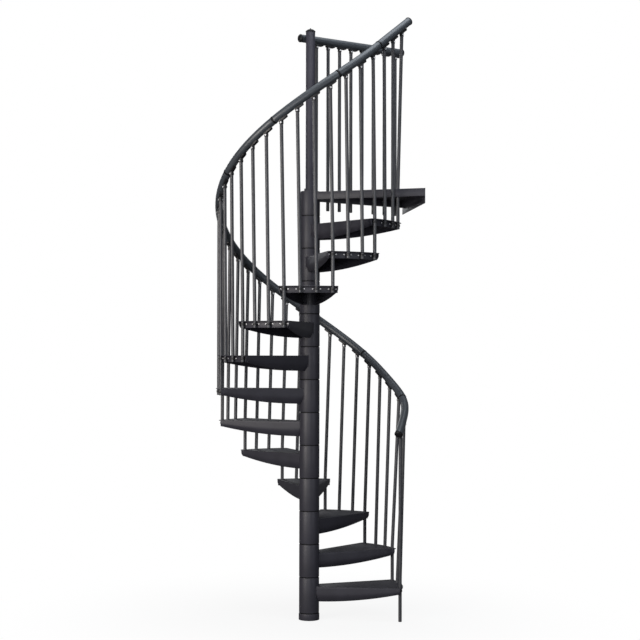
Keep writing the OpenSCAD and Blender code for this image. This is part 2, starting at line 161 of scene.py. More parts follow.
def sprayed_coat_group():
    """Node group of a sprayed coat: cloudy tone, a lighter colour on upward faces (settled dust, and on
    the handrail also a painted highlight), orange peel.
    """
    group = bpy.data.node_groups.new("sprayed_coat", "ShaderNodeTree")
    for name, kind, way in (
        ("Coat", "NodeSocketColor", "INPUT"),
        ("Dust And Sheen Colour", "NodeSocketColor", "INPUT"),
        ("Dust And Sheen Amount", "NodeSocketFloat", "INPUT"),
        ("Gloss Loss", "NodeSocketFloat", "INPUT"),
        ("Peel Scale", "NodeSocketFloat", "INPUT"),
        ("Color", "NodeSocketColor", "OUTPUT"),
        ("Roughness", "NodeSocketFloat", "OUTPUT"),
        ("Height", "NodeSocketFloat", "OUTPUT"),
    ):
        group.interface.new_socket(name, in_out=way, socket_type=kind)
    nodes = group.nodes
    link = group.links.new
    into = nodes.new("NodeGroupInput")
    out = nodes.new("NodeGroupOutput")
    place = nodes.new("ShaderNodeTexCoord")

    clouds = nodes.new("ShaderNodeTexNoise")
    clouds.inputs["Scale"].default_value = 9
    clouds.inputs["Detail"].default_value = 5
    link(place.outputs["Object"], clouds.inputs["Vector"])
    tone = nodes.new("ShaderNodeMapRange")
    tone.inputs["From Min"].default_value = 0.3
    tone.inputs["From Max"].default_value = 0.7
    tone.inputs["To Min"].default_value = 0.86
    tone.inputs["To Max"].default_value = 1.14
    link(clouds.outputs["Fac"], tone.inputs["Value"])
    cloudy = nodes.new("ShaderNodeVectorMath")
    cloudy.operation = "SCALE"
    link(into.outputs["Coat"], cloudy.inputs[0])
    link(tone.outputs["Result"], cloudy.inputs["Scale"])

    grit = nodes.new("ShaderNodeTexNoise")
    grit.inputs["Scale"].default_value = 60
    grit.inputs["Detail"].default_value = 8
    grit.inputs["Roughness"].default_value = 0.7
    link(place.outputs["Object"], grit.inputs["Vector"])
    facing = nodes.new("ShaderNodeNewGeometry")
    upward = nodes.new("ShaderNodeSeparateXYZ")
    link(facing.outputs["Normal"], upward.inputs["Vector"])
    level = nodes.new("ShaderNodeMapRange")
    level.inputs["From Min"].default_value = 0.6
    link(upward.outputs["Z"], level.inputs["Value"])
    patches = nodes.new("ShaderNodeMath")
    patches.operation = "MULTIPLY"
    link(level.outputs["Result"], patches.inputs[0])
    link(grit.outputs["Fac"], patches.inputs[1])
    dust_and_sheen_share = nodes.new("ShaderNodeMath")
    dust_and_sheen_share.operation = "MULTIPLY"
    link(patches.outputs["Value"], dust_and_sheen_share.inputs[0])
    link(into.outputs["Dust And Sheen Amount"], dust_and_sheen_share.inputs[1])
    # Lighter colour mixed onto upward faces: settled dust, and on the handrail partly a painted
    # highlight along its top.
    colour = nodes.new("ShaderNodeMix")
    colour.data_type = "RGBA"
    link(dust_and_sheen_share.outputs["Value"], colour.inputs["Factor"])
    link(cloudy.outputs["Vector"], colour.inputs["A"])
    link(into.outputs["Dust And Sheen Colour"], colour.inputs["B"])
    link(colour.outputs["Result"], out.inputs["Color"])

    dull = nodes.new("ShaderNodeMath")
    dull.operation = "MULTIPLY_ADD"
    dull.inputs[1].default_value = 0.16
    link(grit.outputs["Fac"], dull.inputs[0])
    link(into.outputs["Gloss Loss"], dull.inputs[2])
    link(dull.outputs["Value"], out.inputs["Roughness"])

    peel = nodes.new("ShaderNodeTexNoise")
    peel.inputs["Detail"].default_value = 2
    link(place.outputs["Object"], peel.inputs["Vector"])
    link(into.outputs["Peel Scale"], peel.inputs["Scale"])
    link(peel.outputs["Fac"], out.inputs["Height"])
    return group


sprayed_coat = sprayed_coat_group()


def coated(
    name,
    colour,
    gloss_loss,
    dust_and_sheen=0.3,
    peel_scale=420,
    peel=0.0004,
    specular=0.4,
    dust_and_sheen_colour=settled_dust,
    peel_strength=0.35,
):
    """A coated material in a colour and a gloss of its own."""
    material = bpy.data.materials.new(name)
    material.use_nodes = True
    tree = material.node_tree
    shader = tree.nodes["Principled BSDF"]
    shader.inputs["Specular IOR Level"].default_value = specular
    coat = tree.nodes.new("ShaderNodeGroup")
    coat.node_tree = sprayed_coat
    coat.inputs["Coat"].default_value = (*colour, 1)
    coat.inputs["Dust And Sheen Colour"].default_value = (*dust_and_sheen_colour, 1)
    coat.inputs["Dust And Sheen Amount"].default_value = dust_and_sheen
    coat.inputs["Gloss Loss"].default_value = gloss_loss
    coat.inputs["Peel Scale"].default_value = peel_scale
    bump = tree.nodes.new("ShaderNodeBump")
    bump.inputs["Strength"].default_value = peel_strength
    bump.inputs["Distance"].default_value = peel
    tree.links.new(coat.outputs["Color"], shader.inputs["Base Color"])
    tree.links.new(coat.outputs["Roughness"], shader.inputs["Roughness"])
    tree.links.new(coat.outputs["Height"], bump.inputs["Height"])
    tree.links.new(bump.outputs["Normal"], shader.inputs["Normal"])
    return material


def only(piece):
    """Selects one piece and nothing else, in object mode."""
    bpy.ops.object.select_all(action="DESELECT")
    piece.select_set(True)
    bpy.context.view_layer.objects.active = piece


def pick(kind, test):
    """Selects the vertices, edges or faces of the mesh in hand that pass the test."""
    bpy.ops.mesh.select_mode(type=kind)
    bpy.ops.mesh.select_all(action="DESELECT")
    mesh = bmesh.from_edit_mesh(bpy.context.object.data)
    items = {"VERT": mesh.verts, "EDGE": mesh.edges, "FACE": mesh.faces}[kind]
    for item in items:
        if test(item):
            item.select_set(True)
    mesh.select_flush_mode()
    bmesh.update_edit_mesh(bpy.context.object.data)


def close_up():
    """Merges doubles, points the faces outward and leaves edit mode."""
    bpy.ops.mesh.select_all(action="SELECT")
    bpy.ops.mesh.remove_doubles(threshold=merge_within)
    bpy.ops.mesh.normals_make_consistent(inside=False)
    bpy.ops.object.mode_set(mode="OBJECT")
    return bpy.context.object


def turned(steps, sides=72, bored=False):
    """Raises a round part ring by ring from its (radius, height) steps. On a bored part the
    last ring is bridged back to the first."""
    radius, height = steps[0]
    bpy.ops.object.select_all(action="DESELECT")
    bpy.ops.mesh.primitive_circle_add(vertices=sides, radius=radius, location=(0, 0, height))
    bpy.ops.object.transform_apply()
    bpy.ops.object.mode_set(mode="EDIT")
    bpy.ops.mesh.select_mode(type="VERT")
    bpy.ops.mesh.select_all(action="SELECT")
    for next_radius, next_height in steps[1:]:
        lift = (0, 0, next_height - height)
        bpy.ops.mesh.extrude_region_move(TRANSFORM_OT_translate={"value": lift})
        scale = next_radius / radius
        bpy.ops.transform.resize(value=(scale, scale, 1), center_override=(0, 0, next_height))
        radius, height = next_radius, next_height
    bpy.ops.mesh.select_all(action="DESELECT")
    bpy.ops.mesh.select_non_manifold()
    if bored:
        bpy.ops.mesh.bridge_edge_loops()
    else:
        bpy.ops.mesh.fill_holes(sides=0)
    return close_up()


def moved(piece, place=(0, 0, 0), turn=0.0, tilt=0.0):
    """Tips a piece about Y, turns it about Z, moves it, and keeps all that in its mesh."""
    only(piece)
    piece.rotation_euler = (0, tilt, turn)
    piece.location = place
    bpy.ops.object.transform_apply()
    return piece


def copied(piece, place=(0, 0, 0), turn=0.0, tilt=0.0):
    """A copy with its own mesh, put in its place."""
    only(piece)
    bpy.ops.object.duplicate()
    return moved(bpy.context.object, place, turn, tilt)


def joined(parts):
    """One piece from several."""
    only(parts[0])
    for part in parts:
        part.select_set(True)
    if len(parts) > 1:
        bpy.ops.object.join()
    return bpy.context.object


def softened(piece, width, segments=2, angle=35):
    """Rounds the sharp edges of a finished shape."""
    only(piece)
    bevel = piece.modifiers.new("soft_edges", "BEVEL")
    bevel.width = width
    bevel.segments = segments
    bevel.limit_method = "ANGLE"
    bevel.angle_limit = math.radians(angle)
    bpy.ops.object.modifier_apply(modifier=bevel.name)
    return piece


def bored_by(piece, bits):
    """Takes the shape of the bits out of a piece."""
    bit = joined(bits)
    only(piece)
    hole = piece.modifiers.new("hole", "BOOLEAN")
    hole.object = bit
    bpy.ops.object.modifier_apply(modifier=hole.name)
    bpy.data.objects.remove(bit)
    return piece


def finished(piece, name, material, slot, *nodes):
    """Names a piece, coats it and fixes it to the frame in place of its nodes."""
    only(piece)
    bpy.ops.object.shade_smooth_by_angle(angle=math.radians(32))
    piece.name = name
    piece.data.name = name
    piece.data.materials.clear()
    piece.data.materials.append(material)
    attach(piece, "root")
    if nodes:
        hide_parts(*nodes)
    return piece


tread_coat = coated("tread_coat", charcoal, 0.38)

foot_cover = turned(
    [
        (foot_r - foot_wall, foot_low.z),
        (foot_r, foot_low.z),
        (foot_r, foot_high.z - 3 * foot_bead),
        (foot_r - 0.3 * foot_bead, foot_high.z - foot_bead),
        (foot_r - foot_bead, foot_high.z),
        (foot_r - foot_wall, foot_high.z),
    ],
    bored=True,
)
finished(softened(foot_cover, cover_edge), "foot_cover", tread_coat, "tread_steel", "base_cover")

foot_parts = [
    turned([(plate_r, 0), (plate_r, plate_high), (carrier_r, plate_high), (carrier_r, foot_high.z)])
]
anchor_head = turned(
    [
        (nut_r, plate_high),
        (nut_r, nut_high),
        (anchor_r, anchor_high),
    ],
    sides=6,
)
moved(anchor_head, (anchor_ring, 0, 0))
for corner in range(4):
    foot_parts.append(copied(anchor_head, turn=math.radians(45 + 90 * corner)))
bpy.data.objects.remove(anchor_head)
foot_plate = softened(joined(foot_parts), foot_edge)
finished(foot_plate, "foot_plate", tread_coat, "tread_steel", "base_plate")

# ---------------------------------------------------------------- centre pole
# A steel tube that stands in the foot and runs up through every hub. Above the landing it
# shows as the guard's end post, closed by a turned plastic finial.
pole_low, pole_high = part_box("centre_pole")
pole_r = pole_high.x
pole_wall = 0.003
pole_gap = 0.0003
pole_edge = 0.0006
cap_low, cap_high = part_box("pole_cap")
cap_r = cap_high.x
cap_rim = 0.008
cap_tip = 0.006
cap_tip_r = 0.004
cap_plug_r = pole_r - pole_wall - pole_gap
collar_low, collar_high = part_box("pole_collar")
collar_r = collar_high.x
collar_disc = 0.004
collar_ring_r = pole_r + 0.009
collar_bore_r = pole_r + pole_gap
jet = (0.006, 0.006, 0.007)

column_coat = coated("column_coat", (0.037, 0.035, 0.048), 0.36, dust_and_sheen=0.2)
black_plastic = coated("black_plastic", jet, 0.45, dust_and_sheen=0.12, peel_scale=900, peel=0.0002, specular=0.25)

pole = turned(
    [
        (pole_r - pole_wall, pole_low.z),
        (pole_r, pole_low.z),
        (pole_r, pole_high.z),
        (pole_r - pole_wall, pole_high.z),
    ],
    bored=True,
)
finished(softened(pole, pole_edge), "centre_tube", column_coat, "column_steel", "centre_pole")

finial = turned(
    [
        (cap_plug_r, cap_low.z),
        (cap_plug_r, pole_high.z),
        (cap_r, pole_high.z),
        (cap_r, pole_high.z + 0.7 * cap_rim),
        (0.92 * cap_r, pole_high.z + cap_rim),
        (0.55 * cap_r, cap_high.z - 1.6 * cap_tip),
        (cap_tip_r, cap_high.z - cap_tip),
        (cap_tip_r, cap_high.z - 0.3 * cap_tip),
        (0.5 * cap_tip_r, cap_high.z),
    ]
)
finished(softened(finial, fine_edge), "finial", black_plastic, "black_plastic", "pole_cap")

pole_seat = turned(
    [
        (collar_bore_r, collar_low.z),
        (collar_r, collar_low.z),
        (collar_r, collar_low.z + collar_disc),
        (collar_ring_r, collar_low.z + collar_disc),
        (collar_ring_r, collar_high.z),
        (collar_bore_r, collar_high.z),
    ],
    bored=True,
)
finished(softened(pole_seat, fine_edge), "pole_seat", tread_coat, "tread_steel", "pole_collar")

# ---------------------------------------------------------------- spacer rings
# Thirteen thin black rings, one under each hub, that take up the tolerance in the rise and
# leave a dark line between one hub and the next.
rise = 0.210
hub_r = 0.064
spacer_h = 0.006
foot_h = 0.044
base_h = 0.062
tread_count = 12
ring_shy = 0.0028


def joint_height(n):
    """Height of the ring above the foot, or above tread n's hub."""
    return base_h + n * rise if n else foot_h


ring = turned(
    [
        (collar_bore_r, -spacer_h / 2),
        (hub_r - 2 * ring_shy, -spacer_h / 2),
        (hub_r - ring_shy, -spacer_h / 4),
        (hub_r - ring_shy, spacer_h / 4),
        (hub_r - 2 * ring_shy, spacer_h / 2),
        (collar_bore_r, spacer_h / 2),
    ],
    bored=True,
)
rings = [copied(ring, (0, 0, joint_height(n))) for n in range(tread_count + 1)]
bpy.data.objects.remove(ring)
finished(joined(rings), "hub_rings", black_plastic, "black_plastic", "spacer_rings")

# ---------------------------------------------------------------- treads
# Each tread is a folded steel wedge welded to a length of thick tube: a flat plate, two side
# flanges that deepen to the hub and roll in at the foot, and a band under the outer edge.
# The first tread's tube is the longest and stands on the foot.
step_angle = math.radians(29.2)
first_angle = math.radians(6.3)
stair_r = 0.600
hub_wall = 0.004
hub_above = 0.054
plate_t = 0.004
edge_angle = math.radians(14)
edge_offset = 0.040
inside_hub = 0.030
corner_r = 0.016
flange_t = 0.004
flange_rim_depth = 0.042
flange_hub_depth = 0.098
flange_end_r = stair_r - 0.013
flange_corner = 0.012
flange_notch = 0.012
flange_roll = 0.022
roll_from = 0.5
plate_lip = 0.0005
band_h = 0.038
baluster_r = 0.011
baluster_gap = 0.0005
rim_lip = 0.006
band_gap = 0.001
baluster_ring = stair_r - rim_lip - baluster_r
pitch_angle = step_angle / 3
band_r = baluster_ring - baluster_r - band_gap
weld_r = 0.0028
weld_ripple = 0.00035
corner_cuts = 7
tread_edge = 0.0016
hub_edge = 0.0012
drill_reach = 3 * plate_t


def tread_angle(n):
    return first_angle + (n - 1) * step_angle


def tread_top(n):
    return base_h + n * rise - hub_above - spacer_h / 2


def hub_foot(n):
    """Lower end of a tread's hub, measured from the tread's top face."""
    return joint_height(n - 1) + spacer_h / 2 - tread_top(n)


def around(radius, angle, height=0.0):
    return Vector((radius * math.cos(angle), radius * math.sin(angle), height))


def cut_away(normal, distance, fill=True):
    """Cuts the mesh in hand along an upright plane and drops what lies beyond it."""
    bpy.ops.mesh.select_all(action="SELECT")
    bpy.ops.mesh.bisect(
        plane_co=normal * distance, plane_no=normal, use_fill=fill, clear_outer=True
    )


def cut_to_wedge(half_angle, offset, fill=True):
    """Keeps what lies between the two side edges of a tread or of the landing."""
    for side in (1, -1):
        cut_away(around(1, side * (math.pi / 2 + half_angle)), offset, fill)


def drilled(piece, places, radius):
    """Drills upright holes through a plate."""
    bit = [(radius, -drill_reach), (radius, 2 * plate_t)]
    return bored_by(piece, [moved(turned(bit, sides=32), place) for place in places])


def wedge_plate():
    """Flat top plate, its outer corners rounded by a run of small cuts."""
    bpy.ops.object.select_all(action="DESELECT")
    bpy.ops.mesh.primitive_cylinder_add(
        vertices=360, radius=stair_r, depth=plate_t, location=(0, 0, -plate_t / 2)
    )
    bpy.ops.object.transform_apply()
    bpy.ops.object.mode_set(mode="EDIT")
    cut_to_wedge(edge_angle, edge_offset)
    cut_away(Vector((-1, 0, 0)), -inside_hub)
    corner_turn = edge_angle + math.asin((edge_offset - corner_r) / (stair_r - corner_r))
    for side in (1, -1):
        middle = around(stair_r - corner_r, side * corner_turn)
        for cut in range(1, corner_cuts):
            share = cut / corner_cuts
            direction = corner_turn + share * (math.pi / 2 + edge_angle - corner_turn)
            normal = around(1, side * direction)
            cut_away(normal, middle.dot(normal) + corner_r)
    close_up()
    holes = [around(baluster_ring, k * pitch_angle) for k in (-1.5, -0.5, 0.5, 1.5)]
    return drilled(bpy.context.object, holes, baluster_r + baluster_gap)


def flange_depth(x, hub_end, rim_end):
    """Depth of a side flange at a distance along it: rounded at the rim, then falling fast
    and levelling out, and notched back where it meets the hub."""
    if x > rim_end - flange_corner:
        across = (x - rim_end) / flange_corner + 1
        return flange_rim_depth - flange_corner * (1 - math.sqrt(max(0, 1 - across**2)))
    if x < hub_end + flange_notch:
        return flange_hub_depth - 2 * (hub_end + flange_notch - x)
    share = (rim_end - flange_corner - x) / (rim_end - flange_corner - hub_end - flange_notch)
    return flange_rim_depth + (flange_hub_depth - flange_rim_depth) * (1 - (1 - share) ** 2)


def side_flange(side):
    """A strip of sheet, its columns of points drawn down to the flange's depth, then
    thickened inward."""
    hub_end = math.sqrt((hub_r - hub_wall / 2) ** 2 - edge_offset**2)
    rim_end = math.sqrt(flange_end_r**2 - edge_offset**2)
    arc = [rim_end - flange_corner * (1 - math.sin(math.radians(15 * i))) for i in range(7)]
    run = rim_end - flange_corner - hub_end - flange_notch
    stations = [hub_end] + [hub_end + flange_notch + run * i / 14 for i in range(14)] + arc
    columns = len(stations) - 1
    rows = 8
    bpy.ops.object.select_all(action="DESELECT")
    bpy.ops.mesh.primitive_grid_add(
        x_subdivisions=columns, y_subdivisions=rows, size=2, rotation=(math.pi / 2, 0, 0)
    )
    bpy.ops.object.transform_apply()
    bpy.ops.object.mode_set(mode="EDIT")
    mesh = bmesh.from_edit_mesh(bpy.context.object.data)
    for point in mesh.verts:
        x = stations[round((point.co.x + 1) / 2 * columns)]
        down = (1 - point.co.z) / 2
        depth = flange_depth(x, hub_end, rim_end)
        rolled = max(0, (down - roll_from) / (1 - roll_from)) ** 2
        rolled *= flange_roll * depth / flange_hub_depth
        point.co = (x, edge_offset - plate_lip - rolled, -plate_t / 2 - down * (depth - plate_t / 2))
    bmesh.update_edit_mesh(bpy.context.object.data)
    bpy.ops.mesh.select_all(action="SELECT")
    bpy.ops.mesh.extrude_region_move(TRANSFORM_OT_translate={"value": (0, -flange_t, 0)})
    if side < 0:
        bpy.ops.mesh.select_all(action="SELECT")
        bpy.ops.transform.resize(value=(1, -1, 1), center_override=(0, 0, 0))
    return moved(close_up(), turn=side * edge_angle)


def thickened(piece, wall, offset):
    only(piece)
    thick = piece.modifiers.new("wall", "SOLIDIFY")
    thick.thickness = wall
    thick.offset = offset
    bpy.ops.object.modifier_apply(modifier=thick.name)
    return piece


def rim_band():
    """Curved band under the outer edge, which the balusters are clamped to."""
    bpy.ops.object.select_all(action="DESELECT")
    bpy.ops.mesh.primitive_cylinder_add(
        vertices=360,
        radius=band_r,
        depth=band_h,
        end_fill_type="NOTHING",
        location=(0, 0, -plate_t - band_h / 2),
    )
    bpy.ops.object.transform_apply()
    bpy.ops.object.mode_set(mode="EDIT")
    cut_to_wedge(edge_angle, edge_offset, fill=False)
    cut_away(Vector((-1, 0, 0)), -inside_hub, fill=False)
    return thickened(close_up(), flange_t, -1)


def hub(low, high, wall=hub_wall):
    """A length of thick tube, turned at both ends."""
    tube = [(hub_r - wall, low), (hub_r, low), (hub_r, high), (hub_r - wall, high)]
    return softened(turned(tube, sides=96, bored=True), hub_edge, 3)


def weld_bead(height, reach_angle):
    """The bead where a plate meets the hub, as far round as the plate goes."""
    bpy.ops.object.select_all(action="DESELECT")
    bpy.ops.mesh.primitive_torus_add(
        major_radius=hub_r,
        minor_radius=weld_r,
        major_segments=180,
        minor_segments=10,
        location=(0, 0, height),
    )
    bpy.ops.object.transform_apply()
    bpy.ops.object.mode_set(mode="EDIT")
    cut_away(Vector((-1, 0, 0)), -hub_r * math.cos(reach_angle))
    pick("VERT", lambda point: round(math.degrees(math.atan2(point.co.y, point.co.x)) / 2) % 3 == 0)
    bpy.ops.transform.translate(value=(weld_ripple, 0, weld_ripple))
    return close_up()


def upright_bead(side, half_angle, offset, low, high):
    """The bead down the joint of a side flange and the hub."""
    bead = turned([(0.5 * weld_r, low), (weld_r, low + weld_r), (weld_r, high)], sides=10)
    reach = math.sqrt(hub_r**2 - offset**2)
    along = around(reach, side * half_angle)
    return moved(bead, along + around(offset - plate_lip, side * (half_angle + math.pi / 2)))


plate_reach = edge_angle + math.asin(edge_offset / hub_r)
tread_parts = [
    softened(wedge_plate(), tread_edge, 3),
    softened(side_flange(1), fine_edge),
    softened(side_flange(-1), fine_edge),
    softened(rim_band(), fine_edge),
    weld_bead(0, plate_reach),
    upright_bead(1, edge_angle, edge_offset, -flange_hub_depth + 2 * flange_notch, -plate_t),
    upright_bead(-1, edge_angle, edge_offset, -flange_hub_depth + 2 * flange_notch, -plate_t),
]
tread = joined(tread_parts)
first_step = joined([hub(hub_foot(1), hub_above), copied(tread)])
other_step = joined([hub(hub_foot(2), hub_above), tread])
for n in range(1, tread_count + 1):
    stem = first_step if n == 1 else other_step
    step = copied(stem, (0, 0, tread_top(n)), tread_angle(n))
    finished(step, f"step_{n:02d}", tread_coat, "tread_steel", f"tread_{n:02d}")
for stem in (first_step, other_step):
    bpy.data.objects.remove(stem)

# ---------------------------------------------------------------- landing
# The top platform: a wedge of plate with upright flanges at its sides and a deep one across
# the outer end, bolted to the edge of the upper floor and welded to the last hub.
landing_reach = 0.680
landing_offset = 0.045
landing_half_angle = math.radians(24.65)
landing_flange = 0.050
outer_flange = 0.095
outer_lip = 0.002
landing_hub_above = 0.002
landing_edge = 0.0014
wall_bolt_r = 0.0065
wall_bolt_pitch = 0.560
wall_bolt_depth = 0.6 * outer_flange
step_balusters = 36
first_baluster = first_angle - 1.5 * pitch_angle
landing_top = tread_top(tread_count + 1)
landing_angle = tread_angle(tread_count + 1) - edge_angle + landing_half_angle
landing_half_w = (
    landing_offset / math.cos(landing_half_angle) + landing_reach * math.tan(landing_half_angle)
)


def baluster_angle(k):
    return first_baluster + k * pitch_angle


def block(low, high):
    """A block of sheet between two corners, ready to be cut."""
    bpy.ops.object.select_all(action="DESELECT")
    bpy.ops.mesh.primitive_cube_add(size=1, location=(Vector(low) + Vector(high)) / 2)
    piece = bpy.context.object
    piece.scale = Vector(high) - Vector(low)
    bpy.ops.object.transform_apply()
    return piece


def landing_plate():
    piece = block((inside_hub, -landing_half_w, -plate_t), (landing_reach, landing_half_w, 0))
    bpy.ops.object.mode_set(mode="EDIT")
    cut_to_wedge(landing_half_angle, landing_offset)
    close_up()
    last = baluster_angle(step_balusters) - landing_angle
    return drilled(piece, [around(baluster_ring, last)], baluster_r + baluster_gap)


def landing_side(side):
    hub_end = math.sqrt((hub_r - hub_wall / 2) ** 2 - landing_offset**2)
    away = landing_offset - plate_lip
    reach = landing_reach + landing_offset * math.sin(landing_half_angle)
    long = reach / math.cos(landing_half_angle)
    flat = sorted((side * away, side * (away - flange_t)))
    piece = block((hub_end, flat[0], -landing_flange), (long, flat[1], -plate_t / 2))
    moved(piece, turn=side * landing_half_angle)
    bpy.ops.object.mode_set(mode="EDIT")
    cut_away(Vector((1, 0, 0)), landing_reach - flange_t)
    return close_up()


def landing_end():
    """The outer flange, with its two wall bolt holes."""
    half = landing_half_w - outer_lip
    inner = landing_reach - flange_t
    piece = block((inner, -half, -outer_flange), (landing_reach, half, -plate_t / 2))
    bits = []
    for side in (-0.5, 0.5):
        bit = turned([(wall_bolt_r, -drill_reach), (wall_bolt_r, drill_reach)], sides=32)
        place = (landing_reach, side * wall_bolt_pitch, -wall_bolt_depth)
        bits.append(moved(bit, place, tilt=math.pi / 2))
    return bored_by(piece, bits)


landing_hub_low = joint_height(tread_count) + spacer_h / 2 - landing_top
landing_plate_reach = landing_half_angle + math.asin(landing_offset / hub_r)
landing = joined(
    [
        softened(landing_plate(), landing_edge, 3),
        softened(landing_side(1), fine_edge),
        softened(landing_side(-1), fine_edge),
        softened(landing_end(), fine_edge),
        hub(landing_hub_low, landing_hub_above, hub_r - pole_r - pole_gap),
        weld_bead(-plate_t - 0.4 * weld_r, landing_plate_reach),
        upright_bead(1, landing_half_angle, landing_offset, -landing_flange, -plate_t),
        upright_bead(-1, landing_half_angle, landing_offset, -landing_flange, -plate_t),
    ]
)
moved(landing, (0, 0, landing_top), landing_angle)
finished(landing, "platform", tread_coat, "tread_steel", "landing")

# ---------------------------------------------------------------- balusters
# Thin steel tubes in grey coat. Each stands upright in the clamps of one or two treads, is
# bent just above the upper one, and leans back down the stair to its bracket.
rail_r = 0.025
rail_h = 1.053
rail_before = 0.040
rail_past = 0.064
rail_out = 0.002
start_drop = 0.012
drop_fade = math.radians(15)
start_bulge = 0.034
bulge_middle = math.radians(17)
bulge_fade = math.radians(16)
saddle_t = 0.010
socket_len = 0.018
head_gap = 0.0008
lean_low = math.radians(3)
lean_high = math.radians(1)
lean_fade = math.radians(100)
lean_run = rail_h - 0.100
end_pull = 0.018
bend_above = 0.010
foot_taper = 0.15 * baluster_r
slope_step = 0.009
straight_angle = baluster_angle(33.17)
slate = (0.050, 0.051, 0.057)

baluster_coat = coated("baluster_coat", slate, 0.30, dust_and_sheen=0.15, specular=0.5)


def baluster_top_angle(k):
    lean = lean_high + (lean_low - lean_high) * math.exp(-k * pitch_angle / lean_fade)
    shift = lean_run * math.tan(lean) + end_pull * max(0, k - step_balusters + 2)
    return baluster_angle(k) - shift / baluster_ring


rail_start = baluster_top_angle(0) - rail_before / baluster_ring
rail_end = baluster_top_angle(step_balusters) + rail_past / baluster_ring


def rail_ring(angle):
    sweep = math.exp(-(((angle - first_baluster - bulge_middle) / bulge_fade) ** 2))
    return baluster_ring + rail_out + start_bulge * sweep


def rail_at(angle):
    """Point on the handrail's centre line: a helix that dips and sweeps out at its foot and
    runs straight on at its head."""
    height = tread_top(1) + rail_h + rise * (angle - first_baluster) / step_angle
    height -= start_drop * math.exp(-(angle - rail_start) / drop_fade)
    if angle < straight_angle:
        return around(rail_ring(angle), angle, height)
    ring = rail_ring(straight_angle)
    run = around(ring * (angle - straight_angle), straight_angle + math.pi / 2)
    return around(ring, straight_angle, height) + run


def rail_slope(angle):
    """Slope of the handrail and the direction it heads in, seen from above."""
    ahead = rail_at(angle + slope_step) - rail_at(angle - slope_step)
    return math.asin(ahead.z / ahead.length), math.atan2(ahead.y, ahead.x)


def bracket_drop(angle):
    return (rail_r + saddle_t) / math.cos(rail_slope(angle)[0]) + socket_len


def baluster_foot(k):
    if k == 0:
        return 0.0
    return tread_top(max(1, math.ceil(k / 3))) - plate_t - band_h


def baluster(k):
    """A tube drawn up from its foot to the bend, then drawn on along its lean."""
    low = baluster_foot(k)
    bend = tread_top(k // 3 + 1) + bend_above
    tube = turned(
        [(baluster_r - foot_taper, low), (baluster_r, low + foot_taper), (baluster_r, bend)],
        sides=20,
    )
    moved(tube, around(baluster_ring, baluster_angle(k)))
    head_angle = baluster_top_angle(k)
    head = rail_at(head_angle) - Vector((0, 0, bracket_drop(head_angle) + head_gap))
    bpy.ops.object.mode_set(mode="EDIT")
    pick("FACE", lambda face: face.normal.z > 0.9)
    reach = head - around(baluster_ring, baluster_angle(k), bend)
    bpy.ops.mesh.extrude_region_move(TRANSFORM_OT_translate={"value": reach})
    return close_up()


for group in range(6):
    first = 6 * group
    last = first + 5 if group < 5 else step_balusters
    tubes = [baluster(k) for k in range(first, last + 1)]
    name = f"tubes_{group + 1}"
    finished(joined(tubes), name, baluster_coat, "baluster_steel", f"balusters_{group + 1}")

# ---------------------------------------------------------------- clamps
# Each baluster is held by a black strap bent round it, with two bright button-head screws
# through the strap's ears into the band behind.
strap_t = 0.0025
strap_h = 0.014
strap_half = 0.028
strap_depth = 0.019
strap_edge = 0.0005
strap_grip = baluster_r + 0.0003
strap_back = baluster_r + 0.0007
screw_r = 0.0050
screw_head = 0.0030
screw_socket_r = 0.0018
screw_out = 0.0235
bright_zinc = (0.86, 0.86, 0.88)

clamp_coat = coated("clamp_coat", (0.014, 0.014, 0.016), 0.35, dust_and_sheen=0.3)
zinc = bpy.data.materials.new("zinc_plate")
zinc.use_nodes = True
zinc_tree = zinc.node_tree
zinc_shader = zinc_tree.nodes["Principled BSDF"]
zinc_shader.inputs["Metallic"].default_value = 0.35
zinc_spots = zinc_tree.nodes.new("ShaderNodeTexNoise")
zinc_spots.inputs["Scale"].default_value = 260
zinc_spots.inputs["Detail"].default_value = 4
zinc_place = zinc_tree.nodes.new("ShaderNodeTexCoord")
zinc_tone = zinc_tree.nodes.new("ShaderNodeValToRGB")
zinc_tone.color_ramp.elements[0].color = (*[0.6 * part for part in bright_zinc], 1)
zinc_tone.color_ramp.elements[1].color = (*bright_zinc, 1)
zinc_dull = zinc_tree.nodes.new("ShaderNodeMapRange")
zinc_dull.inputs["To Min"].default_value = 0.28
zinc_dull.inputs["To Max"].default_value = 0.5
zinc_tree.links.new(zinc_place.outputs["Object"], zinc_spots.inputs["Vector"])
zinc_tree.links.new(zinc_spots.outputs["Fac"], zinc_tone.inputs["Fac"])
zinc_tree.links.new(zinc_tone.outputs["Color"], zinc_shader.inputs["Base Color"])
zinc_tree.links.new(zinc_spots.outputs["Fac"], zinc_dull.inputs["Value"])
zinc_tree.links.new(zinc_dull.outputs["Result"], zinc_shader.inputs["Roughness"])


def bent_strap():
    """Half a ring drawn back into two legs and out into two ears, raised to the strap's
    height and given its thickness."""
    middle_r = strap_grip + strap_t / 2
    bpy.ops.object.select_all(action="DESELECT")
    bpy.ops.mesh.primitive_circle_add(vertices=32, radius=middle_r, location=(0, 0, -strap_h / 2))
    bpy.ops.object.transform_apply()
    bpy.ops.object.mode_set(mode="EDIT")
    cut_away(Vector((-1, 0, 0)), 0, fill=False)
    ear_x = -strap_back + strap_t / 2
    for side in (1, -1):
        pick("VERT", lambda point: point.co.x < 0.0001 and point.co.y * side > 0)
        bpy.ops.mesh.extrude_region_move(TRANSFORM_OT_translate={"value": (ear_x, 0, 0)})
        reach = strap_half - middle_r
        bpy.ops.mesh.extrude_region_move(TRANSFORM_OT_translate={"value": (0, side * reach, 0)})
    bpy.ops.mesh.select_all(action="SELECT")
    bpy.ops.mesh.extrude_region_move(TRANSFORM_OT_translate={"value": (0, 0, strap_h)})
    return softened(thickened(close_up(), strap_t, 0), strap_edge)


